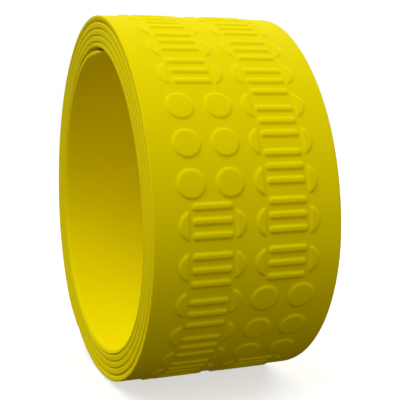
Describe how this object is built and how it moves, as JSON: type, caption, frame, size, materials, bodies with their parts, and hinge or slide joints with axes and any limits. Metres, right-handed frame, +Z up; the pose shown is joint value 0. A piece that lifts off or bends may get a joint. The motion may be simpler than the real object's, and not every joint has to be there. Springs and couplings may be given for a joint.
{
  "type": "roll of grip strip",
  "caption": "Open-centred roll of moulded elastomer grip strip with raised dots and ribbed pads; its outer end peels, its inner end curls and its turns telescope.",
  "frame": {"origin": "centre of the roll's open middle, half way across the strip's width", "axes": "+X along the axis of the roll, +Z up, -Y towards the front"},
  "size_m": [0.05, 0.1043, 0.1034],
  "materials": {
    "grip_strip": "satin moulded elastomer, self-coloured yellow"
  },
  "bodies": {
    "inner_end_tip": {"inner_end_tip": "grip_strip"},
    "inner_end_root": {"inner_end_root": "grip_strip"},
    "turn_1_innermost": {"turn_1_innermost": "grip_strip"},
    "turn_2": {"turn_2": "grip_strip"},
    "turn_3": {"turn_3": "grip_strip"},
    "turn_4": {"turn_4": "grip_strip"},
    "turn_5_outermost": {"turn_5_outermost": "grip_strip"},
    "outer_end_1_root": {"outer_end_1_root": "grip_strip"},
    "outer_end_2": {"outer_end_2": "grip_strip"},
    "outer_end_3": {"outer_end_3": "grip_strip"},
    "outer_end_4": {"outer_end_4": "grip_strip"},
    "outer_end_5": {"outer_end_5": "grip_strip"},
    "outer_end_6_tip": {"outer_end_6_tip": "grip_strip"}
  },
  "joints": [
    {"name": "turn_4_slide", "type": "slide", "parent": "turn_5_outermost", "child": "turn_4", "axis": [1, 0, 0], "range_m": [-0.004, 0.004]},
    {"name": "turn_3_slide", "type": "slide", "parent": "turn_4", "child": "turn_3", "axis": [1, 0, 0], "range_m": [-0.004, 0.004]},
    {"name": "turn_2_slide", "type": "slide", "parent": "turn_3", "child": "turn_2", "axis": [1, 0, 0], "range_m": [-0.004, 0.004]},
    {"name": "turn_1_slide", "type": "slide", "parent": "turn_2", "child": "turn_1_innermost", "axis": [1, 0, 0], "range_m": [-0.004, 0.004]},
    {"name": "inner_end_curl", "type": "hinge", "parent": "turn_1_innermost", "child": "inner_end_root", "pos_m": [0, 0.02203, 0.03427], "axis": [1, 0, 0], "range_deg": [0, 30], "stiffness_Nm_per_rad": 0.002, "springref_deg": -5.73},
    {"name": "inner_end_tip_curl", "type": "hinge", "parent": "inner_end_root", "child": "inner_end_tip", "pos_m": [0, 0.00903, 0.04039], "axis": [1, 0, 0], "range_deg": [0, 30], "stiffness_Nm_per_rad": 0.002, "springref_deg": -5.73},
    {"name": "outer_end_peel", "type": "hinge", "parent": "turn_5_outermost", "child": "outer_end_1_root", "pos_m": [0, 0.0146, 0.05055], "axis": [1, 0, 0], "range_deg": [0, 22], "stiffness_Nm_per_rad": 0.002, "springref_deg": -5.73},
    {"name": "outer_end_bend_2", "type": "hinge", "parent": "outer_end_1_root", "child": "outer_end_2", "pos_m": [0, 0.03191, 0.04045], "axis": [1, 0, 0], "range_deg": [0, 22], "stiffness_Nm_per_rad": 0.002, "springref_deg": -5.73},
    {"name": "outer_end_bend_3", "type": "hinge", "parent": "outer_end_2", "child": "outer_end_3", "pos_m": [0, 0.04469, 0.02499], "axis": [1, 0, 0], "range_deg": [0, 22], "stiffness_Nm_per_rad": 0.002, "springref_deg": -5.73},
    {"name": "outer_end_bend_4", "type": "hinge", "parent": "outer_end_3", "child": "outer_end_4", "pos_m": [0, 0.05153, 0.00614], "axis": [1, 0, 0], "range_deg": [0, 22], "stiffness_Nm_per_rad": 0.002, "springref_deg": -5.73},
    {"name": "outer_end_bend_5", "type": "hinge", "parent": "outer_end_4", "child": "outer_end_5", "pos_m": [0, 0.05145, -0.01391], "axis": [1, 0, 0], "range_deg": [0, 22], "stiffness_Nm_per_rad": 0.002, "springref_deg": -5.73},
    {"name": "outer_end_bend_6", "type": "hinge", "parent": "outer_end_5", "child": "outer_end_6_tip", "pos_m": [0, 0.04314, -0.03214], "axis": [1, 0, 0], "range_deg": [0, 22], "stiffness_Nm_per_rad": 0.002, "springref_deg": -5.73}
  ],
  "couplings": [
    {"joint": "turn_3_slide", "follows": "turn_4_slide", "ratio": 1},
    {"joint": "turn_2_slide", "follows": "turn_4_slide", "ratio": 1},
    {"joint": "turn_1_slide", "follows": "turn_4_slide", "ratio": 1},
    {"joint": "inner_end_tip_curl", "follows": "inner_end_curl", "ratio": 1},
    {"joint": "outer_end_bend_2", "follows": "outer_end_peel", "ratio": 1},
    {"joint": "outer_end_bend_3", "follows": "outer_end_peel", "ratio": 1},
    {"joint": "outer_end_bend_4", "follows": "outer_end_peel", "ratio": 1},
    {"joint": "outer_end_bend_5", "follows": "outer_end_peel", "ratio": 1},
    {"joint": "outer_end_bend_6", "follows": "outer_end_peel", "ratio": 1}
  ]
}
